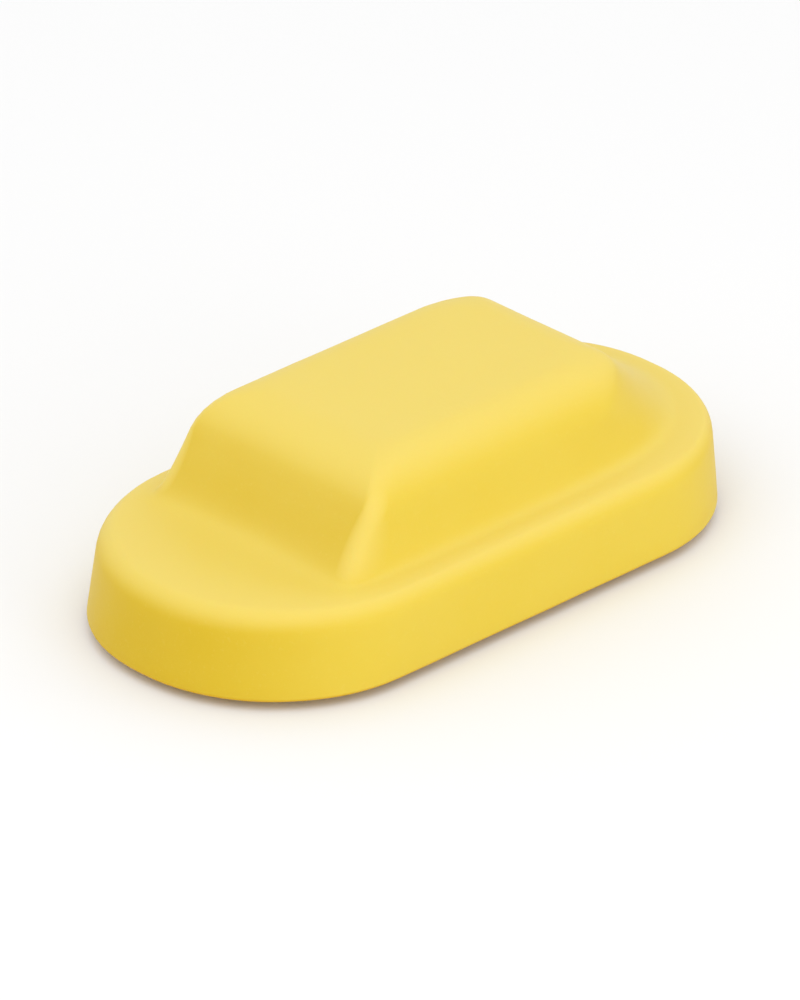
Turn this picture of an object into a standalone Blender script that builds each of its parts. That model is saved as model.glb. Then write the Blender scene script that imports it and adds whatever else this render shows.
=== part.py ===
# Hand-held foam sponge applicator: a moulded foam body with a raised grip, and, bonded into a
# recess in its underside, a stiff backing board and an open-cell sponge pad.
# Metres, +Z up. The origin is at the centre of the sponge's working face. The long axis is X and
# the front end, with the longer ledge, points along -X.

import math

import bmesh
import bpy

# Base of the moulded body: the front end leans in more than the rear, and the rear more than the
# sides
BASE_LENGTH = 0.1600
BASE_WIDTH = 0.0817
BASE_CORNER_RADIUS = 0.0393
WALL_HEIGHT = 0.0206
FRONT_DRAFT = math.radians(11.8)
REAR_DRAFT = math.radians(5.5)
SIDE_DRAFT = math.radians(1.5)
FRONT_SHOULDER_RADIUS = 0.0084
REAR_SHOULDER_RADIUS = 0.0032
SIDE_SHOULDER_RADIUS = 0.0055
RIM_RADIUS = 0.0008

# Raised grip on the base: its ledges, slopes and roundings at the front, the rear and the sides
GRIP_RISE = 0.0232
FRONT_LEDGE = 0.0282
REAR_LEDGE = 0.0082
SIDE_LEDGE = 0.0091
FRONT_SLOPE = math.radians(31.5)
REAR_SLOPE = math.radians(52.0)
SIDE_SLOPE = math.radians(6.1)
FRONT_CREASE_RADIUS = 0.0045
REAR_CREASE_RADIUS = 0.0120
SIDE_CREASE_RADIUS = 0.0036
FRONT_EDGE_RADIUS = 0.0178
REAR_EDGE_RADIUS = 0.0140
SIDE_EDGE_RADIUS = 0.0119
FRONT_CORNER_RADIUS = 0.0036
REAR_CORNER_RADIUS = 0.0105
REAR_CORNER_SPREAD = 0.6

# Layers under the roof of the recess
SKIRT_WALL = 0.0026
PAD_THICKNESS = 0.0115
PAD_PROUD = 0.0020
PAD_EDGE_RADIUS = 0.0010
BOARD_THICKNESS = 0.0020
BOND_THICKNESS = 0.0008
BOND_MARGIN = 0.0020

# Clearances
LEDGE_MARGIN = 0.0003
LEDGE_LEAN = 0.2
PAD_SIDE_CLEARANCE = 0.0005
BOARD_SIDE_CLEARANCE = 0.0005
SEAT_GAP = 0.0003

# Facets of a plan: along a corner and along an end, and the turn to each side of the middle that
# the end's facets share equally
LAYER_FACETS = (10, 1, 0.0)
FRONT_FACETS = (4, 18, math.radians(72))
REAR_FACETS = (9, 4, math.radians(20))

# Facets along the roundings of the outer profile (rim, shoulder, crease and top edge) and along the
# sponge's edge, and the most of a straight that two roundings may take up
PROFILE_STEPS = (2, 5, 4, 6)
PAD_EDGE_STEPS = 2
STRAIGHT_SHARE = 0.97
BASE_STATIONS = (PROFILE_STEPS[0] + 1) + (PROFILE_STEPS[1] + 1)

# Points closer than this are one point, and edges that fold by more than this shade sharp
SAME_POINT = 1e-7
SHARP_FOLD = math.radians(40)

# Colour and roughness of the materials
FOAM_LOOK = ((0.87, 0.68, 0.13), 0.6)
SPONGE_LOOK = ((0.86, 0.62, 0.12), 0.9)
BOND_LOOK = ((0.80, 0.76, 0.62), 0.7)
BOARD_LOOK = ((0.16, 0.16, 0.17), 0.5)

# Heights of the layers, from the working face up
PAD_TOP = PAD_THICKNESS
LOWER_BOND_BASE = PAD_TOP + SEAT_GAP
BOARD_BASE = LOWER_BOND_BASE + BOND_THICKNESS + SEAT_GAP
UPPER_BOND_BASE = BOARD_BASE + BOARD_THICKNESS + SEAT_GAP
RECESS_ROOF = UPPER_BOND_BASE + BOND_THICKNESS + SEAT_GAP
RIM = PAD_PROUD
LEDGE_LEVEL = RIM + WALL_HEIGHT
TOP = LEDGE_LEVEL + GRIP_RISE
RECESS_DEPTH = RECESS_ROOF - RIM

# Reach of the grip's front and side feet and of its top at the rear
SIDE_FOOT = BASE_WIDTH / 2 - WALL_HEIGHT * math.tan(SIDE_DRAFT) - SIDE_LEDGE
FRONT_FOOT = BASE_LENGTH / 2 - WALL_HEIGHT * math.tan(FRONT_DRAFT) - FRONT_LEDGE
REAR_TOP = (BASE_LENGTH / 2 - WALL_HEIGHT * math.tan(REAR_DRAFT) - REAR_LEDGE
            - GRIP_RISE * math.tan(REAR_SLOPE))

# Plan of the recess: the skirt is thinnest at the roof, where the drafted wall has come in most
RECESS_INSET = RECESS_DEPTH * math.tan(max(FRONT_DRAFT, REAR_DRAFT, SIDE_DRAFT)) + SKIRT_WALL


def clear_scene():
    for old in list(bpy.data.objects):
        bpy.data.objects.remove(old, do_unlink=True)


def direction(start, end):
    length = math.dist(start, end)
    return ((end[0] - start[0]) / length, (end[1] - start[1]) / length)


def half_angle(before, corner, after):
    backward = direction(corner, before)
    forward = direction(corner, after)
    return math.acos(backward[0] * forward[0] + backward[1] * forward[1]) / 2


def corner_arc(before, corner, after, tangent, steps):
    """Points of the arc that rounds a corner and starts and ends one tangent length from it."""
    backward = direction(corner, before)
    forward = direction(corner, after)
    half = half_angle(before, corner, after)
    radius = tangent * math.tan(half)
    bisector = direction((0.0, 0.0), (backward[0] + forward[0], backward[1] + forward[1]))
    reach = radius / math.sin(half)
    centre = (corner[0] + bisector[0] * reach, corner[1] + bisector[1] * reach)
    first = (corner[0] + backward[0] * tangent, corner[1] + backward[1] * tangent)
    last = (corner[0] + forward[0] * tangent, corner[1] + forward[1] * tangent)
    start = math.atan2(first[1] - centre[1], first[0] - centre[0])
    end = math.atan2(last[1] - centre[1], last[0] - centre[0])
    sweep = (end - start + math.pi) % (2 * math.pi) - math.pi
    turns = [start + sweep * step / steps for step in range(steps + 1)]
    return [(centre[0] + radius * math.cos(turn), centre[1] + radius * math.sin(turn)) for turn in turns]


def rounded_profile(corners, radii, steps):
    """A profile of (reach, height) points with an arc at each inner corner. Two roundings that
    need more than the straight between them share it in proportion."""
    tangents = [0.0]
    for before, corner, after, radius in zip(corners, corners[1:], corners[2:], radii):
        tangents.append(radius / math.tan(half_angle(before, corner, after)))
    tangents.append(0.0)
    shares = []
    for start, end, near, far in zip(corners, corners[1:], tangents, tangents[1:]):
        shares.append(min(1.0, STRAIGHT_SHARE * math.dist(start, end) / (near + far)))
    points = []
    for index, count in enumerate(steps, start=1):
        tangent = tangents[index] * min(shares[index - 1], shares[index])
        points += corner_arc(*corners[index - 1:index + 2], tangent, count)
    return points


def outer_profile(half_size, draft, ledge, slope, shoulder, crease, edge):
    """The body's outside from the rim to the edge of the flat top, seen in one vertical plane."""
    wall_top = half_size - WALL_HEIGHT * math.tan(draft)
    grip_foot = wall_top - ledge
    grip_top = grip_foot - GRIP_RISE * math.tan(slope)
    corners = [(half_size - RECESS_INSET, RIM), (half_size, RIM), (wall_top, LEDGE_LEVEL),
               (grip_foot, LEDGE_LEVEL), (grip_top, TOP), (0.0, TOP)]
    return rounded_profile(corners, [RIM_RADIUS, shoulder, crease, edge], PROFILE_STEPS)


def end_shares(facets, turn):
    """How far to the side the inner points of an end are, from near 1 through 0 to near -1."""
    return [math.tan(turn * (1 - 2 * step / facets)) / math.tan(turn) for step in range(1, facets)]


def plan_ring(front, rear, side, corners, facets):
    """One closed ring of points. front, rear and side are (reach, height), and round the corners
    the height passes smoothly from that of the end to that of the side. corners and facets are
    those of the front and of the rear."""
    ring = []
    for quarter in range(4):
        along = 1 if quarter in (0, 3) else -1
        across = 1 if quarter in (0, 1) else -1
        end = rear if along > 0 else front
        corner_facets, end_facets, end_turn = facets[along > 0]
        radius = min(corners[along > 0], end[0], side[0])
        middle = across * (side[0] - radius)
        for step in range(corner_facets + 1):
            turn = (quarter + step / corner_facets) * math.pi / 2
            share = math.cos(turn) ** 2
            ring.append((along * (end[0] - radius) + radius * math.cos(turn),
                         middle + radius * math.sin(turn),
                         end[1] * share + side[1] * (1 - share)))
        if quarter in (1, 3):
            ring += [(along * end[0], middle * share, end[1]) for share in end_shares(end_facets, end_turn)]
    return ring


def faced_ring(facing, front, rear, side, corner):
    """A ring on a rounded plan, with a point facing each point of another ring: straight out from
    the straights, and along a radius from the centres of the corners."""
    ring = []
    for x, y, _ in facing:
        end = rear if x > 0 else front
        radius = min(corner, end[0], side[0])
        near_end = min(abs(x), end[0] - radius)
        near_side = min(abs(y), side[0] - radius)
        far = math.hypot(abs(x) - near_end, abs(y) - near_side)
        cosine = (abs(x) - near_end) / far
        sine = (abs(y) - near_side) / far
        ring.append((math.copysign(near_end + radius * cosine, x),
                     math.copysign(near_side + radius * sine, y),
                     end[1] * cosine ** 2 + side[1] * sine ** 2))
    return ring


def lofted_object(name, rings, material):
    """A closed solid through a stack of rings, with a flat cap on the first and the last."""
    mesh = bpy.data.meshes.new(name)
    shape = bmesh.new()
    loops = [[shape.verts.new(point) for point in ring] for ring in rings]
    for lower, upper in zip(loops, loops[1:]):
        for index in range(len(lower)):
            following = (index + 1) % len(lower)
            shape.faces.new((lower[index], lower[following], upper[following], upper[index]))
    shape.faces.new(loops[0][::-1])
    shape.faces.new(loops[-1])
    bmesh.ops.remove_doubles(shape, verts=shape.verts, dist=SAME_POINT)
    bmesh.ops.recalc_face_normals(shape, faces=shape.faces)
    shape.to_mesh(mesh)
    shape.free()
    mesh.shade_smooth()
    mesh.set_sharp_from_angle(angle=SHARP_FOLD)
    mesh.materials.append(material)
    body = bpy.data.objects.new(name, mesh)
    bpy.context.scene.collection.objects.link(body)
    return body


def plain_material(name, look):
    colour, roughness = look
    material = bpy.data.materials.new(name)
    material.use_nodes = True
    shader = material.node_tree.nodes["Principled BSDF"]
    shader.inputs["Base Color"].default_value = (*colour, 1.0)
    shader.inputs["Roughness"].default_value = roughness
    shader.inputs["Metallic"].default_value = 0.0
    return material


def recess_plan(inset, height):
    """The plan of the recess, drawn in all round by an inset: front, rear, side and corner."""
    drawn_in = RECESS_INSET + inset
    end = (BASE_LENGTH / 2 - drawn_in, height)
    return end, end, (BASE_WIDTH / 2 - drawn_in, height), BASE_CORNER_RADIUS - drawn_in


def layer_ring(inset, height):
    front, rear, side, corner = recess_plan(inset, height)
    return plan_ring(front, rear, side, (corner, corner), (LAYER_FACETS, LAYER_FACETS))


def grip_ring(front, rear, side):
    """A ring of the grip. Its corners widen as they reach out: at the front in the crease, at the
    rear all the way down from the top."""
    outward = max(front[0] - FRONT_FOOT, side[0] - SIDE_FOOT, 0.0)
    rearward = max(rear[0] - REAR_TOP, 0.0)
    corners = (FRONT_CORNER_RADIUS + outward, REAR_CORNER_RADIUS + REAR_CORNER_SPREAD * rearward)
    return plan_ring(front, rear, side, corners, (FRONT_FACETS, REAR_FACETS))


def kept_inside(ring, front_reach, rear_reach, side_reach, corner_radius):
    """A ring with every point drawn back inside the rounded plan that it stands on. The margin to
    its edge grows with the height."""
    kept = []
    for x, y, z in ring:
        margin = LEDGE_MARGIN + LEDGE_LEAN * (z - LEDGE_LEVEL)
        end_reach = (rear_reach if x > 0 else front_reach) - margin
        radius = min(corner_radius, end_reach, side_reach) - margin
        beyond_end = max(abs(x) - (end_reach - radius), 0.0)
        beyond_side = max(abs(y) - (side_reach - margin - radius), 0.0)
        far = math.hypot(beyond_end, beyond_side)
        excess = 1 - radius / max(far, radius)
        kept.append((x - math.copysign(beyond_end * excess, x),
                     y - math.copysign(beyond_side * excess, y), z))
    return kept


def build_grip_body():
    front = outer_profile(BASE_LENGTH / 2, FRONT_DRAFT, FRONT_LEDGE, FRONT_SLOPE,
                          FRONT_SHOULDER_RADIUS, FRONT_CREASE_RADIUS, FRONT_EDGE_RADIUS)
    rear = outer_profile(BASE_LENGTH / 2, REAR_DRAFT, REAR_LEDGE, REAR_SLOPE,
                         REAR_SHOULDER_RADIUS, REAR_CREASE_RADIUS, REAR_EDGE_RADIUS)
    side = outer_profile(BASE_WIDTH / 2, SIDE_DRAFT, SIDE_LEDGE, SIDE_SLOPE,
                         SIDE_SHOULDER_RADIUS, SIDE_CREASE_RADIUS, SIDE_EDGE_RADIUS)
    stations = list(zip(front, rear, side))
    foot = grip_ring(*stations[BASE_STATIONS])
    base_corners = [BASE_CORNER_RADIUS - (BASE_WIDTH / 2 - reach) for reach, height in side[:BASE_STATIONS]]
    rings = [faced_ring(foot, *recess_plan(0.0, height)) for height in (RECESS_ROOF, RIM)]
    for points, corner in zip(stations, base_corners):
        rings.append(faced_ring(foot, *points, corner))
    ledge_plan = [reach for reach, height in stations[BASE_STATIONS - 1]]
    for points in stations[BASE_STATIONS:]:
        rings.append(kept_inside(grip_ring(*points), *ledge_plan, base_corners[-1]))
    return lofted_object("grip_body", rings, plain_material("moulded_foam", FOAM_LOOK))


def build_sponge_pad():
    rounded = [PAD_EDGE_RADIUS * (1 - math.sin(step / PAD_EDGE_STEPS * math.pi / 2))
               for step in range(PAD_EDGE_STEPS + 1)]
    rings = []
    for inset in rounded:
        drop = PAD_EDGE_RADIUS - math.sqrt(max(PAD_EDGE_RADIUS ** 2 - inset ** 2, 0.0))
        rings.append(layer_ring(PAD_SIDE_CLEARANCE + inset, PAD_EDGE_RADIUS - drop))
    rings.append(layer_ring(PAD_SIDE_CLEARANCE, PAD_TOP))
    return lofted_object("sponge_pad", rings, plain_material("open_cell_sponge", SPONGE_LOOK))


def build_layer(name, side_gap, base, thickness, material):
    rings = [layer_ring(side_gap, base), layer_ring(side_gap, base + thickness)]
    return lofted_object(name, rings, material)


def main():
    clear_scene()
    build_grip_body()
    build_sponge_pad()
    bond = plain_material("bond_sheet", BOND_LOOK)
    build_layer("lower_bond_sheet", BOND_MARGIN, LOWER_BOND_BASE, BOND_THICKNESS, bond)
    build_layer("backing_board", BOARD_SIDE_CLEARANCE, BOARD_BASE, BOARD_THICKNESS,
                plain_material("board_plastic", BOARD_LOOK))
    build_layer("upper_bond_sheet", BOND_MARGIN, UPPER_BOND_BASE, BOND_THICKNESS, bond)


main()
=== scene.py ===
# Looks of the hand-held foam sponge applicator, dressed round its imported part.
# Metres, +Z up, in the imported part's own frame: X is the length, the front end points along -X.

import math

import bpy
from mathutils import Matrix, Vector


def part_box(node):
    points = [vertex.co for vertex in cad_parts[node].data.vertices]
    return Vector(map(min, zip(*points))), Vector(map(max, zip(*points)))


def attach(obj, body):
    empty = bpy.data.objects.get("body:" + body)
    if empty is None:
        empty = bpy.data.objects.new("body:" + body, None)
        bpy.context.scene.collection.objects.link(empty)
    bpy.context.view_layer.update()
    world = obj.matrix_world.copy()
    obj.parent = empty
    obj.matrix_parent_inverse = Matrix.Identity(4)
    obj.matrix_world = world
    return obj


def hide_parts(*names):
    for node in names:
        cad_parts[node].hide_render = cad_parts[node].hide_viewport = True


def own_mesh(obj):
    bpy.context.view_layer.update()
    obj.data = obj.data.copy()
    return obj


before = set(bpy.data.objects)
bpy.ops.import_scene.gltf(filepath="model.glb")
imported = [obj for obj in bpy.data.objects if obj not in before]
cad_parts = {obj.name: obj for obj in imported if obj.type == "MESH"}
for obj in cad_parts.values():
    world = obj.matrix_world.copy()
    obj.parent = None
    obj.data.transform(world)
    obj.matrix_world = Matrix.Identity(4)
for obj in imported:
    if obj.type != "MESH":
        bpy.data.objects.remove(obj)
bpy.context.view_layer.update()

# Sizes of the moulded body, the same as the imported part's
BODY_SIZES = {
    "Length": 0.1600, "Width": 0.0817, "Base Corner": 0.0393, "Wall": 0.0206,
    "Front Draft": math.radians(11.8), "Rear Draft": math.radians(5.5),
    "Side Draft": math.radians(1.5),
    "Front Shoulder": 0.0084, "Rear Shoulder": 0.0032, "Side Shoulder": 0.0055,
    "Grip Rise": 0.0232,
    "Front Ledge": 0.0282, "Rear Ledge": 0.0082, "Side Ledge": 0.0091,
    "Front Slope": math.radians(31.5), "Rear Slope": math.radians(52.0),
    "Side Slope": math.radians(6.1),
    "Front Crease": 0.0045, "Rear Crease": 0.0120, "Side Crease": 0.0036,
    "Front Edge": 0.0178, "Rear Edge": 0.0140, "Side Edge": 0.0119,
    "Front Corner": 0.0036, "Rear Corner": 0.0105, "Rear Spread": 0.6,
    "Rim": 0.0020, "Rim Radius": 0.0008, "Lip Radius": 0.0006,
    "Recess Inset": 0.0056, "Recess Roof": 0.0163,
    "Ledge Margin": 0.0003, "Ledge Lean": 0.2, "Crown": 0.0003, "Waviness": 0.00012,
}
BODY_COUNTS = {"Round Steps": 8, "Round Cuts": 1, "Straight Cuts": 5, "Corner Steps": 20,
               "Side Steps": 30, "End Steps": 56, "Softening": 100}
RIM = BODY_SIZES["Rim"]
PRESS_TRAVEL = RIM

# Which of the body's profile's roundings are the shoulder, the crease and the top edge
SHOULDER, CREASE, TOP_EDGE = 4, 5, 6

# How the skin is laid: points closer than this are one, waves per metre of its faint unevenness,
# the stretch along X over which the rear begins, the share of the softening that the rear loses,
# and how far the painted highlight along the ridge at the front corners leans to the front
SAME_PLACE = 0.00001
WAVES = 45.0
REAR_BEGINS = (0.0, 0.030)
REAR_LOSS = 0.5
RIDGE_HIGHLIGHT_LEAN = 1.5

# Colours of the foam's skin, by where it faces; the ends' colour is painted shade, the top's a
# painted sheen
SIDE_SKIN = (0.725, 0.532, 0.046, 1)
# Painted shade: the deeper colour of the two end walls
SHADED_END_SKIN = (0.617, 0.410, 0.004, 1)
# Painted sheen: the paler colour of the faces that look up
SHEEN_TOP_SKIN = (0.768, 0.592, 0.116, 1)
PALE_SKIN = (0.800, 0.660, 0.160, 1)
RIM_SKIN = (0.640, 0.340, 0.006, 1)

# How the foam's colours meet: the sharpness of the ends' painted shade, the upward facing over
# which the top colour's painted sheen comes in, its loss in the hollow as painted shade there, the
# spread and share of the painted highlight along the grip's front corners, then the ranges and
# shares of the mottling and the speckles, and the height above the rim and the share of the orange
# line
END_SHADE_SHARPNESS = 2.2
SHEEN_UPWARD_RANGE = (0.30, 0.95)
HOLLOW_SHADE_LOSS = 0.40
RIDGE_HIGHLIGHT_SPREAD = 0.6
RIDGE_HIGHLIGHT_SHARE = 0.9
MOTTLE_RANGE = (0.30, 0.70)
MOTTLE_SHARE = 0.06
SPECKLE_RANGE = (0.55, 0.80)
SPECKLE_SHARE = 0.12
RIM_LINE = (RIM + 0.0002, RIM + 0.0011)
RIM_SHARE = 0.75

# Noise patterns: size per metre, detail and roughness
FOAM_CLOUD = (38.0, 3.0, 0.55)
FOAM_GRAIN = (1100.0, 3.0, 0.6)
SPONGE_FIBRE = (2200.0, 3.0, 0.65)
SPONGE_CLOUD = (60.0, 2.0)
TAPE_GRAIN = (1500.0, 2.0)
TAPE_CLOUD = (50.0, 2.0)
BOARD_PEBBLE = (1800.0, 2.0)
BOARD_CLOUD = (70.0, 4.0, 0.6)

# Colours of the hidden layers
SPONGE_WALL = ((0.84, 0.60, 0.11, 1), (0.88, 0.66, 0.16, 1))
SPONGE_WEB = (0.92, 0.74, 0.28, 1)
# Painted shade down in the sponge's pores
SPONGE_PORE_SHADE = (0.58, 0.33, 0.03, 1)
TAPE_FILM = ((0.76, 0.71, 0.56, 1), (0.83, 0.79, 0.66, 1))
TAPE_CELLS = (0.88, 0.86, 0.78, 1)
BOARD_FACE = ((0.030, 0.030, 0.032, 1), (0.042, 0.042, 0.045, 1))
BOARD_SCUFF = (0.10, 0.10, 0.105, 1)

# Pores of the open-cell sponge: cells per metre of the large and the small ones, the smallest pit
# and the spread above it as shares of a cell, the fuzz between the pits, the depths over which
# painted shade darkens the pores, and how far below the sponge's top they fade out
LARGE_CELLS = 330.0
SMALL_CELLS = 820.0
LARGE_PITS = (0.12, 0.42)
SMALL_PITS = (0.15, 0.40)
FUZZ_SCALE = 2600.0
FUZZ_DETAIL = 1.0
FUZZ_DEPTH = 0.00012
PORE_SHADE = (0.0001, 0.0011)
PORES_FADE = (0.0012, 0.0006)

# Edge radius and mesh steps of the sponge and of the bond sheets
SPONGE_EDGE = 0.0010
SPONGE_COUNTS = (4, 70, 22, 6, 110, 170, 2)
SHEET_EDGE = 0.0002
SHEET_COUNTS = (3, 12, 1, 12, 24, 20, 1)

# Where the photograph was taken from, in an image of 800 by 1000 pixels
IMAGE_HEIGHT = 1000
CAMERA_TURN = 0.768978
CAMERA_TILT = 0.484191
FOCAL_PIXELS = 11857.2
PIXELS_PER_METRE = 4550.24
AIM_PIXEL = (400 - 404.925, 500 - 481.717)
AIM_HEIGHT = 0.018 + RIM
SENSOR_WIDTH = 36.0
FARTHEST = 50.0

# Pale floor: half its size, how far it lies below the part, and its colour
FLOOR_REACH = 6.0
FLOOR_DROP = 0.0002
FLOOR_COLOUR = (0.86, 0.86, 0.86, 1)

# Lamp panels: turn to the right of the line of sight and height, in degrees, width and power
LAMP_DISTANCE = 1.6
LAMP_AIM_HEIGHT = 0.02
LAMPS = (("front_panel", 180, 55, 1.2, 4.4), ("near_right_panel", 140, 14, 0.7, 2.7),
         ("right_panel", 95, 12, 0.6, 1.2), ("near_left_panel", -140, 40, 1.2, 1.3))


def named(sockets, name):
    """A socket by its place, its identifier or its name."""
    if isinstance(name, int):
        return sockets[name]
    for socket in sockets:
        if socket.identifier == name:
            return socket
    return sockets[name]


class Wire:
    """One output of a node. Arithmetic on it adds Math nodes to the same tree."""

    def __init__(self, socket):
        self.socket = socket
        self.tree = socket.id_data

    @staticmethod
    def plug(socket, value):
        if isinstance(value, Wire):
            value.tree.links.new(value.socket, socket)
        else:
            socket.default_value = value

    @staticmethod
    def node(tree, kind, settings=None, sockets=None, output=0):
        """Any other node: its type, its settings, then the values or links of its sockets."""
        made = tree.nodes.new(kind)
        for name, value in (settings or {}).items():
            if name == "choices":
                while len(made.index_switch_items) < value:
                    made.index_switch_items.new()
            else:
                setattr(made, name, value)
        for name, value in (sockets or {}).items():
            Wire.plug(named(made.inputs, name), value)
        return Wire(named(made.outputs, output)) if len(made.outputs) else made

    def other(self, name):
        """Another output of the same node."""
        return Wire(named(self.socket.node.outputs, name))

    def math(self, operation, *values):
        return Wire.sum(self.tree, operation, self, *values)

    @staticmethod
    def sum(tree, operation, *values):
        return Wire.node(tree, "ShaderNodeMath", {"operation": operation}, dict(enumerate(values)))

    def __add__(self, value):
        return self.math("ADD", value)

    def __sub__(self, value):
        return self.math("SUBTRACT", value)

    def __mul__(self, value):
        return self.math("MULTIPLY", value)

    def __truediv__(self, value):
        return self.math("DIVIDE", value)

    def __rsub__(self, value):
        return Wire.sum(self.tree, "SUBTRACT", value, self)

    def __rtruediv__(self, value):
        return Wire.sum(self.tree, "DIVIDE", value, self)

    __radd__ = __add__
    __rmul__ = __mul__

    def least(self, value):
        return self.math("MINIMUM", value)

    def most(self, value):
        return self.math("MAXIMUM", value)

    def ramp(self, low, high):
        """0 up to low, 1 from high, and a smooth rise between."""
        settings = {"interpolation_type": "SMOOTHSTEP"}
        return Wire.node(self.tree, "ShaderNodeMapRange", settings,
                         {"Value": self, "From Min": low, "From Max": high})


def blended(factor, first, second, kind="RGBA"):
    """A colour or a vector between two."""
    suffix = {"RGBA": "Color", "VECTOR": "Vector"}[kind]
    sockets = {"Factor_Float": factor, "A_" + suffix: first, "B_" + suffix: second}
    return Wire.node(factor.tree, "ShaderNodeMix", {"data_type": kind}, sockets, "Result_" + suffix)


def chosen(index, values):
    """The value of a list that an index picks."""
    sockets = {"Index": index, **{"Item_%d" % place: value for place, value in enumerate(values)}}
    settings = {"data_type": "FLOAT", "choices": len(values)}
    return Wire.node(index.tree, "GeometryNodeIndexSwitch", settings, sockets)


def point(tree, x, y, z):
    return Wire.node(tree, "ShaderNodeCombineXYZ", None, {"X": x, "Y": y, "Z": z})


def parts(vector):
    x = Wire.node(vector.tree, "ShaderNodeSeparateXYZ", None, {"Vector": vector})
    return x, x.other("Y"), x.other("Z")


SOCKETS = {"number": "NodeSocketFloat", "count": "NodeSocketInt", "shape": "NodeSocketGeometry",
           "vector": "NodeSocketVector", "material": "NodeSocketMaterial"}


def new_tree(name, inputs, output):
    """A tree with named inputs and one output. Returns it, its inputs and what closes it."""
    tree = bpy.data.node_groups.new(name, "GeometryNodeTree")
    for title, kind in inputs.items():
        tree.interface.new_socket(title, in_out="INPUT", socket_type=SOCKETS[kind])
    tree.interface.new_socket("Result", in_out="OUTPUT", socket_type=SOCKETS[output])
    entry = tree.nodes.new("NodeGroupInput")
    given = {title: Wire(entry.outputs[title]) for title in inputs}
    return tree, given, lambda wire: Wire.node(tree, "NodeGroupOutput", None, {"Result": wire})


def plan_group():
    """A point on a rounded plan whose front, rear and sides have their own reach and height. Share
    runs round one corner, and the height passes smoothly from the end's to the side's."""
    names = ["Quarter", "Share", "Front Reach", "Front Height", "Rear Reach", "Rear Height",
             "Side Reach", "Side Height", "Front Corner", "Rear Corner"]
    tree, given, close = new_tree("rounded_plan", dict.fromkeys(names, "number"), "vector")
    along = chosen(given["Quarter"], (1.0, -1.0, -1.0, 1.0))
    across = chosen(given["Quarter"], (1.0, 1.0, -1.0, -1.0))
    rearward = along * 0.5 + 0.5

    def of_end(what):
        return given["Front " + what] + (given["Rear " + what] - given["Front " + what]) * rearward

    reach = of_end("Reach")
    side = given["Side Reach"]
    radius = of_end("Corner").least(reach).least(side).most(0.0)
    turn = (given["Quarter"] + given["Share"]) * (math.pi / 2)
    cosine = turn.math("COSINE")
    level = cosine * cosine
    close(point(tree, along * (reach - radius) + radius * cosine,
                across * (side - radius) + radius * turn.math("SINE"),
                of_end("Height") * level + given["Side Height"] * (1 - level)))
    return tree


def profile_group():
    """The body's outline in one upright plane, from the roof of its recess round the rim, up the
    wall and over the grip to the middle of its top."""
    numbers = ["Half Size", "Draft", "Wall", "Ledge", "Slope", "Shoulder", "Crease", "Edge",
               "Roof Spine", "Top Spine", "Rim", "Rim Radius", "Lip Radius", "Top",
               "Recess Inset", "Recess Roof"]
    counts = ["Round Steps", "Round Cuts", "Straight Cuts"]
    inputs = {**dict.fromkeys(numbers, "number"), **dict.fromkeys(counts, "count")}
    tree, given, close = new_tree("body_profile", inputs, "shape")
    wall_top = given["Half Size"] - given["Wall"] * given["Draft"].math("TANGENT")
    ledge = given["Rim"] + given["Wall"]
    foot = wall_top - given["Ledge"]
    grip_top = foot - (given["Top"] - ledge) * given["Slope"].math("TANGENT")
    recess = given["Half Size"] - given["Recess Inset"]
    index = Wire.node(tree, "GeometryNodeInputIndex")
    reach = chosen(index, (given["Roof Spine"], recess, recess, given["Half Size"], wall_top, foot,
                           grip_top, given["Top Spine"]))
    height = chosen(index, (given["Recess Roof"], given["Recess Roof"], given["Rim"], given["Rim"],
                            ledge, ledge, given["Top"], given["Top"]))
    radius = chosen(index, (0.0, given["Lip Radius"], given["Lip Radius"], given["Rim Radius"],
                            given["Shoulder"], given["Crease"], given["Edge"], 0.0))
    line = Wire.node(tree, "GeometryNodeMeshLine", None, {"Count": 8})
    line = Wire.node(tree, "GeometryNodeSetPosition", None,
                     {"Geometry": line, "Position": point(tree, reach, 0.0, height)})
    curve = Wire.node(tree, "GeometryNodeMeshToCurve", None, {"Mesh": line})
    curve = Wire.node(tree, "GeometryNodeFilletCurve", {"mode": "POLY"},
                      {"Curve": curve, "Count": given["Round Steps"], "Radius": radius,
                       "Limit Radius": True})
    straight = 1 - index.math("MODULO", given["Round Steps"] + 1).least(1.0)
    cuts = given["Round Cuts"] + (given["Straight Cuts"] - given["Round Cuts"]) * straight
    close(Wire.node(tree, "GeometryNodeSubdivideCurve", None, {"Curve": curve, "Cuts": cuts}))
    return tree


def sampled(curve, index):
    """The reach and the height of one point of a profile."""
    place = Wire.node(curve.tree, "GeometryNodeInputPosition")
    found = Wire.node(curve.tree, "GeometryNodeSampleIndex", {"data_type": "FLOAT_VECTOR"},
                      {"Geometry": curve, "Value": place, "Index": index})
    reach, _, height = parts(found)
    return reach, height


def round_trip(column, corner_steps, long_steps, short_steps):
    """The quarter that a column of a closed plan is in, its share of the corner, and its share of
    the straight that follows the corner. Long and short straights take turns."""
    half_turn = corner_steps * 2 + long_steps + short_steps
    halves = (column / half_turn).math("FLOOR")
    rest = column - halves * half_turn
    second = rest.math("GREATER_THAN", corner_steps + long_steps - 0.5)
    step = rest - second * (corner_steps + long_steps)
    straight = long_steps + (short_steps - long_steps) * second
    quarter = (halves * 2 + second).math("MODULO", 4.0)
    share = (step / corner_steps).least(1.0)
    slide = ((step - corner_steps) / straight).most(0.0)
    return quarter, share, slide


def plan_place(plan, trip, sockets):
    """Where a column stands on a plan: on a corner, or on the straight that follows it."""
    quarter, share, slide = trip
    near = Wire.node(quarter.tree, "GeometryNodeGroup", {"node_tree": plan},
                     {"Quarter": quarter, "Share": share, **sockets})
    following = (quarter + 1).math("MODULO", 4.0)
    far = Wire.node(quarter.tree, "GeometryNodeGroup", {"node_tree": plan},
                    {"Quarter": following, "Share": 0.0, **sockets})
    return blended(slide, near, far, "VECTOR")


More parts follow.
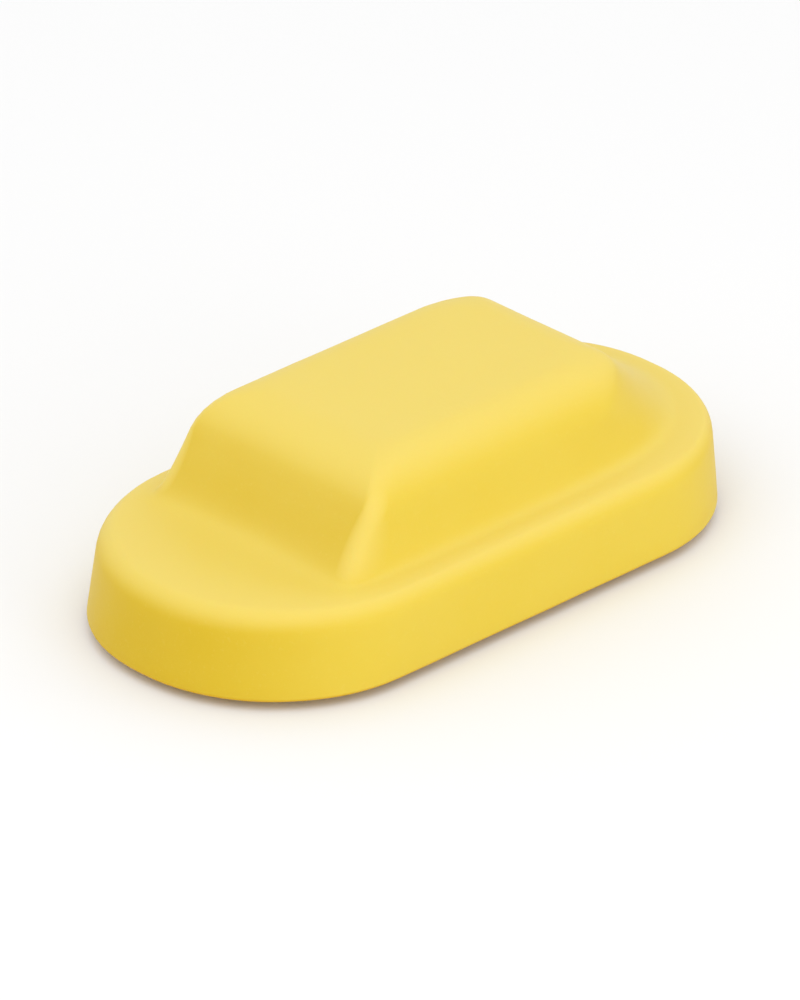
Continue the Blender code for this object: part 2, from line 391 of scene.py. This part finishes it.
def faced_place(facing, ring, corner):
    """The place on a rounded plan that faces a place of another plan: straight out from its
    straights, and along a radius from the centres of its corners."""
    x, y, _ = parts(facing)
    rearward = x.math("GREATER_THAN", 0.0)

    def of_end(what):
        return ring["Front " + what] + (ring["Rear " + what] - ring["Front " + what]) * rearward

    reach = of_end("Reach")
    side = ring["Side Reach"]
    radius = corner.least(reach).least(side).most(0.0)
    near_end = x.math("ABSOLUTE").least(reach - radius)
    near_side = y.math("ABSOLUTE").least(side - radius)
    beyond_end = x.math("ABSOLUTE") - near_end
    beyond_side = y.math("ABSOLUTE") - near_side
    far = (beyond_end * beyond_end + beyond_side * beyond_side).math("SQRT")
    cosine = beyond_end / far
    sine = beyond_side / far
    level = cosine * cosine
    return point(facing.tree, x.math("SIGN") * (near_end + radius * cosine),
                 y.math("SIGN") * (near_side + radius * sine),
                 of_end("Height") * level + ring["Side Height"] * (1 - level))


def kept_inside(place, ledge, corner, margin):
    """A place drawn back inside the rounded plan that it stands on, a margin short of its edge."""
    x, y, z = parts(place)
    front, rear, side = (reach - margin for reach in ledge)
    reach = front + (rear - front) * x.math("GREATER_THAN", 0.0)
    radius = corner - margin
    beyond_end = (x.math("ABSOLUTE") - (reach - radius)).most(0.0)
    beyond_side = (y.math("ABSOLUTE") - (side - radius)).most(0.0)
    far = (beyond_end * beyond_end + beyond_side * beyond_side).math("SQRT")
    excess = 1 - radius / far.most(radius)
    return point(place.tree, x - x.math("SIGN") * beyond_end * excess,
                 y - y.math("SIGN") * beyond_side * excess, z)


def laid_grid(tree, columns, stations, place):
    """A grid laid over all the places."""
    grid = Wire.node(tree, "GeometryNodeMeshGrid", None,
                     {"Vertices X": columns, "Vertices Y": stations})
    return Wire.node(tree, "GeometryNodeSetPosition", None, {"Geometry": grid, "Position": place})


def kept(shape, name, value, kind="FLOAT"):
    """A shape whose points keep a value under a name, for its material to read."""
    return Wire.node(shape.tree, "GeometryNodeStoreNamedAttribute",
                     {"domain": "POINT", "data_type": kind},
                     {"Geometry": shape, "Name": name, "Value": value})


def sewn(shape, offset):
    """A laid grid sewn up into a closed skin, moved a little and smoothed."""
    tree = shape.tree
    shape = Wire.node(tree, "GeometryNodeMergeByDistance", None,
                      {"Geometry": shape, "Distance": SAME_PLACE})
    shape = Wire.node(tree, "GeometryNodeSetPosition", None, {"Geometry": shape, "Offset": offset})
    return Wire.node(tree, "GeometryNodeSetShadeSmooth", None, {"Geometry": shape})


def finished(shape, material):
    """What a tree hands over: plain mesh with its material."""
    shape = Wire.node(shape.tree, "GeometryNodeRealizeInstances", None, {"Geometry": shape})
    return Wire.node(shape.tree, "GeometryNodeSetMaterial", None,
                     {"Geometry": shape, "Material": material})


def scaled(vector, factor):
    return Wire.node(vector.tree, "ShaderNodeVectorMath", {"operation": "SCALE"},
                     {0: vector, "Scale": factor})


def noise(tree, vector, scale, detail=2.0, roughness=0.5):
    return Wire.node(tree, "ShaderNodeTexNoise", None,
                     {"Vector": vector, "Scale": scale, "Detail": detail, "Roughness": roughness})


def blurred(vector, times, weight):
    """A vector of each point, evened out with its neighbours' a number of times."""
    return Wire.node(vector.tree, "GeometryNodeBlurAttribute", {"data_type": "FLOAT_VECTOR"},
                     {"Value": vector, "Iterations": times, "Weight": weight})


def body_tree(plan, profile):
    """The moulded foam body: a skin over three profiles, front, rear and side, on rounded plans."""
    inputs = {**dict.fromkeys(BODY_SIZES, "number"), **dict.fromkeys(BODY_COUNTS, "count"),
              "Material": "material"}
    tree, size, close = new_tree("moulded_foam_body", inputs, "shape")
    half_length = size["Length"] / 2
    half_width = size["Width"] / 2
    top = size["Rim"] + size["Wall"] + size["Grip Rise"]

    def grip_foot(half, end):
        return half - size["Wall"] * size[end + " Draft"].math("TANGENT") - size[end + " Ledge"]

    def grip_top(foot, end):
        return foot - size["Grip Rise"] * size[end + " Slope"].math("TANGENT")

    front_foot = grip_foot(half_length, "Front")
    side_foot = grip_foot(half_width, "Side")
    front_top = grip_top(front_foot, "Front")
    side_top = grip_top(side_foot, "Side")
    rear_top = grip_top(grip_foot(half_length, "Rear"), "Rear")

    def outline(half, end, roof_spine, top_spine):
        sockets = {name: size[name] for name in ("Rim", "Rim Radius", "Lip Radius", "Recess Inset",
                                                 "Recess Roof", "Round Steps", "Round Cuts",
                                                 "Straight Cuts", "Wall")}
        for name in ("Draft", "Ledge", "Slope", "Shoulder", "Crease", "Edge"):
            sockets[name] = size[end + " " + name]
        sockets.update({"Half Size": half, "Top": top, "Roof Spine": roof_spine,
                        "Top Spine": top_spine})
        return Wire.node(tree, "GeometryNodeGroup", {"node_tree": profile}, sockets)

    spine = half_length - half_width
    front = outline(half_length, "Front", spine, front_top - side_top)
    rear = outline(half_length, "Rear", spine, rear_top - side_top)
    side = outline(half_width, "Side", 0.0, 0.0)

    stations = Wire.node(tree, "GeometryNodeAttributeDomainSize", {"component": "CURVE"},
                         {"Geometry": side})
    columns = (size["Corner Steps"] * 2 + size["Side Steps"] + size["End Steps"]) * 2 + 1
    index = Wire.node(tree, "GeometryNodeInputIndex")
    station = index.math("MODULO", stations)
    column = (index / stations).math("FLOOR")
    trip = round_trip(column, size["Corner Steps"], size["Side Steps"], size["End Steps"])

    def ring_at(wanted):
        found = {}
        for name, curve in (("Front", front), ("Rear", rear), ("Side", side)):
            found[name + " Reach"], found[name + " Height"] = sampled(curve, wanted)
        return found

    def on_grip_plan(ring):
        """A column's place on a ring of the grip, whose corners widen as the ring reaches out."""
        outward = (ring["Front Reach"] - front_foot).most(ring["Side Reach"] - side_foot).most(0.0)
        rearward = (ring["Rear Reach"] - rear_top).most(0.0)
        return plan_place(plan, trip, {
            **ring, "Front Corner": size["Front Corner"] + outward,
            "Rear Corner": size["Rear Corner"] + size["Rear Spread"] * rearward})

    straight = size["Straight Cuts"] + 1
    stage = straight + size["Round Steps"] * (size["Round Cuts"] + 1)
    shoulder_end = stage * SHOULDER
    crease_end = stage * CREASE
    ring = ring_at(station)
    inset = half_width - ring["Side Reach"]
    foot = on_grip_plan(ring_at(shoulder_end + straight))
    on_base = faced_place(foot, ring, size["Base Corner"] - inset)
    ledge = [sampled(curve, shoulder_end)[0] for curve in (front, rear, side)]
    ledge_corner = size["Base Corner"] - half_width + ledge[2]
    on_grip = on_grip_plan(ring)
    above_ledge = (parts(on_grip)[2] - size["Rim"] - size["Wall"]).most(0.0)
    margin = size["Ledge Margin"] + size["Ledge Lean"] * above_ledge
    on_grip = kept_inside(on_grip, ledge, ledge_corner, margin)
    past_shoulder = ((station - shoulder_end) / straight).most(0.0).least(1.0)
    place = blended(past_shoulder, on_base, on_grip, "VECTOR")

    edge_end = stage * TOP_EDGE
    on_top = station.math("GREATER_THAN", edge_end)
    middle = 1 - (ring["Side Reach"] / sampled(side, edge_end)[0]).math("POWER", 2.0)
    crown = size["Crown"] * middle * middle * on_top
    normal = Wire.node(tree, "GeometryNodeInputNormal")
    here = Wire.node(tree, "GeometryNodeInputPosition")
    wave = (noise(tree, here, WAVES) - 0.5) * size["Waviness"] * 2
    lifted = Wire.node(tree, "ShaderNodeVectorMath", {"operation": "ADD"},
                       {0: place, 1: point(tree, 0.0, 0.0, crown)})
    edge_start = crease_end + straight
    # The softness weights the smoothing below, and the skin's colour also reads it as the hollow's
    # painted shade
    softness = station.ramp(shoulder_end - straight, shoulder_end + straight)
    softness = softness * (1 - station.ramp(crease_end, edge_start))
    softness = softness * (1 - parts(lifted)[0].ramp(*REAR_BEGINS) * REAR_LOSS)
    quarter, share, _ = trip
    # The ridge marks where the skin's colour gets a painted highlight along the grip's front
    # corners
    frontward = chosen(quarter, (0.0, share, 1 - share, 0.0)).math("POWER", RIDGE_HIGHLIGHT_LEAN)
    ridge = frontward * (1 - frontward) * 4
    ridge = ridge * station.ramp(shoulder_end + straight, crease_end)
    ridge = ridge * (1 - station.ramp(edge_start, edge_end))
    skin = kept(laid_grid(tree, columns, stations, lifted), "softness", softness)
    skin = kept(skin, "ridge", ridge)
    skin = sewn(skin, scaled(normal, wave))
    softness = Wire.node(tree, "GeometryNodeInputNamedAttribute", {"data_type": "FLOAT"},
                         {"Name": "softness"})
    skin = Wire.node(tree, "GeometryNodeSetPosition", None,
                     {"Geometry": skin, "Position": blurred(here, size["Softening"], softness)})
    skin = kept(skin, "skin_facing", normal, "FLOAT_VECTOR")
    close(finished(skin, size["Material"]))
    return tree


LAYER_SIZES = ["Half Length", "Half Width", "Corner", "Base", "Top", "Edge Radius", "Pore Depth",
               "Large Cells", "Small Cells"]
LAYER_COUNTS = ["Edge Steps", "Face Rings", "Wall Rings", "Top Rings", "Corner Steps",
                "Long Steps", "Short Steps"]


def layer_tree(plan):
    """A flat layer on a rounded plan, with open pores in its lower face and its edge."""
    inputs = {**dict.fromkeys(LAYER_SIZES, "number"), **dict.fromkeys(LAYER_COUNTS, "count"),
              "Material": "material"}
    tree, size, close = new_tree("bonded_layer", inputs, "shape")
    index = Wire.node(tree, "GeometryNodeInputIndex")
    line = Wire.node(tree, "GeometryNodeMeshLine", None, {"Count": 4})
    reach = chosen(index, (0.0, size["Half Width"], size["Half Width"], 0.0))
    height = chosen(index, (size["Base"], size["Base"], size["Top"], size["Top"]))
    line = Wire.node(tree, "GeometryNodeSetPosition", None,
                     {"Geometry": line, "Position": point(tree, reach, 0.0, height)})
    curve = Wire.node(tree, "GeometryNodeMeshToCurve", None, {"Mesh": line})
    radius = chosen(index, (0.0, size["Edge Radius"], size["Edge Radius"], 0.0))
    curve = Wire.node(tree, "GeometryNodeFilletCurve", {"mode": "POLY"},
                      {"Curve": curve, "Count": size["Edge Steps"], "Radius": radius,
                       "Limit Radius": True})
    wall_start = size["Edge Steps"] + 1
    on_face = index.math("LESS_THAN", 0.5)
    on_wall = index.math("COMPARE", wall_start, 0.5)
    on_top = index.math("COMPARE", wall_start * 2, 0.5)
    cuts = on_face * size["Face Rings"] + on_wall * size["Wall Rings"] + on_top * size["Top Rings"]
    curve = Wire.node(tree, "GeometryNodeSubdivideCurve", None, {"Curve": curve, "Cuts": cuts})

    stations = Wire.node(tree, "GeometryNodeAttributeDomainSize", {"component": "CURVE"},
                         {"Geometry": curve})
    columns = (size["Corner Steps"] * 2 + size["Long Steps"] + size["Short Steps"]) * 2 + 1
    column = (index / stations).math("FLOOR")
    trip = round_trip(column, size["Corner Steps"], size["Long Steps"], size["Short Steps"])
    side, level = sampled(curve, index.math("MODULO", stations))
    inset = size["Half Width"] - side
    end = size["Half Length"] - inset
    corner = size["Corner"] - inset
    ring = {"Front Reach": end, "Rear Reach": end, "Side Reach": side, "Front Height": level,
            "Rear Height": level, "Side Height": level, "Front Corner": corner,
            "Rear Corner": corner}
    place = plan_place(plan, trip, ring)

    def pits(cells, smallest, spread):
        """Round pits of many sizes, one in each cell, as deep as their radius."""
        near = Wire.node(tree, "ShaderNodeTexVoronoi", None, {"Vector": place, "Scale": cells})
        lot = parts(near.other("Color"))[0]
        wide = lot * spread + smallest
        distance = near.other("Distance")
        return (wide * wide - distance * distance).most(0.0).math("SQRT") / cells

    below_top = 1 - level.ramp(*(size["Top"] - drop for drop in PORES_FADE))
    pore = pits(size["Large Cells"], *LARGE_PITS).most(pits(size["Small Cells"], *SMALL_PITS))
    fuzz = noise(tree, place, FUZZ_SCALE, FUZZ_DETAIL)
    depth = (pore + fuzz * FUZZ_DEPTH) * size["Pore Depth"] * below_top
    normal = Wire.node(tree, "GeometryNodeInputNormal")
    stored = Wire.node(tree, "GeometryNodeInputNamedAttribute", {"data_type": "FLOAT"},
                       {"Name": "pore_depth"})
    skin = kept(laid_grid(tree, columns, stations, place), "pore_depth", depth)
    close(finished(sewn(skin, scaled(normal, stored * -1.0)), size["Material"]))
    return tree


def made_piece(name, tree, values, material):
    """A plain mesh of what a tree makes with these sizes."""
    mesh = bpy.data.meshes.new(name + "_start")
    holder = bpy.data.objects.new(name + "_maker", mesh)
    bpy.context.scene.collection.objects.link(holder)
    modifier = holder.modifiers.new("shape", "NODES")
    modifier.node_group = tree
    keys = {item.name: item.identifier for item in tree.interface.items_tree
            if item.in_out == "INPUT"}
    for title, value in {**values, "Material": material}.items():
        modifier[keys[title]] = value
    holder.update_tag()
    graph = bpy.context.evaluated_depsgraph_get()
    result = bpy.data.meshes.new_from_object(holder.evaluated_get(graph), depsgraph=graph)
    result.name = name
    piece = bpy.data.objects.new(name, result)
    bpy.context.scene.collection.objects.link(piece)
    holder.modifiers.clear()
    bpy.data.objects.remove(holder, do_unlink=True)
    return piece


def new_material(name):
    """A material, its tree, its Principled shader's inputs and its Object coordinates."""
    material = bpy.data.materials.new(name)
    material.use_nodes = True
    tree = material.node_tree
    shader = tree.nodes["Principled BSDF"]
    place = Wire.node(tree, "ShaderNodeTexCoord", None, None, "Object")
    return material, tree, shader.inputs, place


def stored_value(tree, name, output="Fac"):
    """What a mesh keeps under a name at each of its points."""
    return Wire.node(tree, "ShaderNodeAttribute", {"attribute_name": name}, None, output)


def bumped(tree, height, strength, distance):
    return Wire.node(tree, "ShaderNodeBump", None,
                     {"Height": height, "Strength": strength, "Distance": distance})


def moulded_foam():
    """Satin skin of a yellow moulded foam, with a painted sheen where it faces up, a painted
    highlight along the grip's front corners, painted shade on the two ends and in the hollow round
    the grip's foot, and a deeper line along the rim."""
    material, tree, shader, place = new_material("moulded_foam_skin")
    cloud = noise(tree, place, *FOAM_CLOUD)
    grain = noise(tree, place, *FOAM_GRAIN)
    facing = stored_value(tree, "skin_facing", "Vector")
    endward, _, upward = parts(facing)
    ridge = stored_value(tree, "ridge")
    # Painted shade: the walls take the ends' deeper colour as they face along X
    walls = blended(endward.math("ABSOLUTE").math("POWER", END_SHADE_SHARPNESS), SIDE_SKIN, SHADED_END_SKIN)
    hollow = stored_value(tree, "softness")
    # Painted sheen where the skin faces up, weakened in the hollow by painted shade
    pale = upward.ramp(*SHEEN_UPWARD_RANGE) * (1 - hollow * HOLLOW_SHADE_LOSS)
    # Painted highlight along the grip's front corner ridge
    pale = pale.most(ridge.math("POWER", RIDGE_HIGHLIGHT_SPREAD) * RIDGE_HIGHLIGHT_SHARE)
    skin = blended(pale, walls, SHEEN_TOP_SKIN)
    mottled = blended(cloud.ramp(*MOTTLE_RANGE) * MOTTLE_SHARE, skin, PALE_SKIN)
    speckled = blended(grain.ramp(*SPECKLE_RANGE) * SPECKLE_SHARE, mottled, PALE_SKIN)
    rim = 1 - parts(place)[2].ramp(*RIM_LINE)
    Wire.plug(shader["Base Color"], blended(rim * RIM_SHARE, speckled, RIM_SKIN))
    Wire.plug(shader["Roughness"], grain * 0.10 + 0.42)
    Wire.plug(shader["Normal"], bumped(tree, grain + cloud * 0.4, 0.35, 0.00012))
    shader["Specular IOR Level"].default_value = 0.25
    shader["Subsurface Weight"].default_value = 0.12
    shader["Subsurface Radius"].default_value = (1.0, 0.55, 0.08)
    shader["Subsurface Scale"].default_value = 0.004
    return material


def open_cell_sponge():
    """Open-cell sponge: pale cell walls, with painted shade deepening the colour down in the pores.
    """
    material, tree, shader, place = new_material("open_cell_sponge")
    pore = stored_value(tree, "pore_depth")
    fibre = noise(tree, place, *SPONGE_FIBRE)
    cloud = noise(tree, place, *SPONGE_CLOUD)
    wall = blended(cloud.ramp(0.35, 0.65), *SPONGE_WALL)
    web = blended(fibre.ramp(0.35, 0.75), wall, SPONGE_WEB)
    # Painted shade: the colour deepens with the depth of the pores
    Wire.plug(shader["Base Color"], blended(pore.ramp(*PORE_SHADE), web, SPONGE_PORE_SHADE))
    Wire.plug(shader["Roughness"], fibre * 0.15 + 0.80)
    Wire.plug(shader["Normal"], bumped(tree, fibre, 0.6, 0.0002))
    return material


def bond_sheet():
    """Double-sided foam tape: a pale, faintly clouded film with a fine closed-cell grain."""
    material, tree, shader, place = new_material("bond_sheet")
    grain = noise(tree, place, *TAPE_GRAIN)
    cloud = noise(tree, place, *TAPE_CLOUD)
    film = blended(cloud.ramp(0.35, 0.65), *TAPE_FILM)
    Wire.plug(shader["Base Color"], blended(grain.ramp(0.5, 0.8) * 0.5, film, TAPE_CELLS))
    Wire.plug(shader["Roughness"], grain * 0.2 + 0.60)
    Wire.plug(shader["Normal"], bumped(tree, grain, 0.4, 0.0001))
    return material


def board_plastic():
    """Matt dark sheet plastic with a fine pebbled face and lighter scuffs."""
    material, tree, shader, place = new_material("board_plastic")
    pebble = noise(tree, place, *BOARD_PEBBLE)
    cloud = noise(tree, place, *BOARD_CLOUD)
    dark = blended(cloud.ramp(0.4, 0.7), *BOARD_FACE)
    Wire.plug(shader["Base Color"], blended(cloud.ramp(0.66, 0.74) * 0.4, dark, BOARD_SCUFF))
    Wire.plug(shader["Roughness"], pebble * 0.15 + 0.45)
    Wire.plug(shader["Normal"], bumped(tree, pebble, 0.3, 0.00008))
    return material


def layer_values(node, edge, pores, counts):
    """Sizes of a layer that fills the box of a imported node."""
    low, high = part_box(node)
    half_length = (high.x - low.x) / 2
    half_width = (high.y - low.y) / 2
    corner = BODY_SIZES["Base Corner"] - (BODY_SIZES["Width"] / 2 - half_width)
    return {"Half Length": half_length, "Half Width": half_width, "Corner": corner,
            "Base": low.z, "Top": high.z, "Edge Radius": edge, "Pore Depth": pores,
            "Large Cells": LARGE_CELLS, "Small Cells": SMALL_CELLS,
            **dict(zip(LAYER_COUNTS, counts))}


def dress_body(plan):
    tree = body_tree(plan, profile_group())
    body = made_piece("foam_body", tree, {**BODY_SIZES, **BODY_COUNTS}, moulded_foam())
    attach(body, "grip")
    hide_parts("grip_body")


def dress_layers(plan):
    tree = layer_tree(plan)
    values = layer_values("sponge_pad", SPONGE_EDGE, 1.0, SPONGE_COUNTS)
    pad = made_piece("sponge", tree, values, open_cell_sponge())
    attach(pad, "sponge")
    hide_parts("sponge_pad")
    thickness = values["Top"]
    (thickness - PRESS_TRAVEL) / thickness
    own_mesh(pad)
    tape = bond_sheet()
    for name, node in (("upper_bond", "upper_bond_sheet"), ("lower_bond", "lower_bond_sheet")):
        values = layer_values(node, SHEET_EDGE, 0.0, SHEET_COUNTS)
        sheet = made_piece(name, tree, values, tape)
        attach(sheet, "grip")
        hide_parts(node)
    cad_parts["backing_board"].data.materials.clear()
    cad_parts["backing_board"].data.materials.append(board_plastic())


def sight_axes():
    """Level directions to the right of the picture and away into it."""
    right = Vector((math.cos(CAMERA_TURN), -math.sin(CAMERA_TURN), 0))
    return right, Vector((math.sin(CAMERA_TURN), math.cos(CAMERA_TURN), 0))


def add_floor():
    """A pale floor that keeps the object's shadow."""
    mesh = bpy.data.meshes.new("floor")
    corners = [(-1, -1), (1, -1), (1, 1), (-1, 1)]
    places = [(x * FLOOR_REACH, y * FLOOR_REACH, -FLOOR_DROP) for x, y in corners]
    mesh.from_pydata(places, [], [(0, 1, 2, 3)])
    floor = bpy.data.objects.new("floor", mesh)
    bpy.context.scene.collection.objects.link(floor)
    material = bpy.data.materials.new("pale_floor")
    material.use_nodes = True
    shader = material.node_tree.nodes["Principled BSDF"].inputs
    shader["Base Color"].default_value = FLOOR_COLOUR
    shader["Roughness"].default_value = 0.9
    shader["Specular IOR Level"].default_value = 0.1
    mesh.materials.append(material)


def add_lights():
    """An even white surround and soft lamp panels, placed by turn from the line of sight."""
    world = bpy.data.worlds.new("studio")
    bpy.context.scene.world = world
    world.use_nodes = True
    surround = world.node_tree.nodes["Background"]
    surround.inputs["Color"].default_value = (1.0, 1.0, 1.0, 1)
    surround.inputs["Strength"].default_value = 1.0
    right, away = sight_axes()
    for name, turn, height, width, power in LAMPS:
        turn, height = math.radians(turn), math.radians(height)
        level = away * math.cos(turn) + right * math.sin(turn)
        place = (level * math.cos(height) + Vector((0, 0, math.sin(height)))) * LAMP_DISTANCE
        lamp = bpy.data.lights.new(name, "AREA")
        lamp.size = width
        lamp.energy = power
        holder = bpy.data.objects.new(name, lamp)
        bpy.context.scene.collection.objects.link(holder)
        aim = Vector((0, 0, LAMP_AIM_HEIGHT)) - place
        holder.matrix_world = Matrix.LocRotScale(place, aim.to_track_quat("-Z", "Y"), None)


def add_camera():
    """A long lens at the photograph's own viewing angle."""
    right, away = sight_axes()
    up = away * math.sin(CAMERA_TILT) + Vector((0, 0, math.cos(CAMERA_TILT)))
    back = right.cross(up)
    lens = bpy.data.cameras.new("camera")
    lens.sensor_width = SENSOR_WIDTH
    lens.lens = FOCAL_PIXELS * SENSOR_WIDTH / IMAGE_HEIGHT
    lens.clip_end = FARTHEST
    camera = bpy.data.objects.new("camera", lens)
    bpy.context.scene.collection.objects.link(camera)
    shift = (right * AIM_PIXEL[0] - up * AIM_PIXEL[1]) / PIXELS_PER_METRE
    aim = Vector((0, 0, AIM_HEIGHT)) + shift
    turned = Matrix((right, up, back)).transposed().to_4x4()
    stand = aim + back * (FOCAL_PIXELS / PIXELS_PER_METRE)
    camera.matrix_world = Matrix.Translation(stand) @ turned
    bpy.context.scene.camera = camera


bpy.context.scene.view_settings.view_transform = "Standard"
add_camera()
add_floor()
add_lights()
rounded_plan = plan_group()
dress_body(rounded_plan)
dress_layers(rounded_plan)
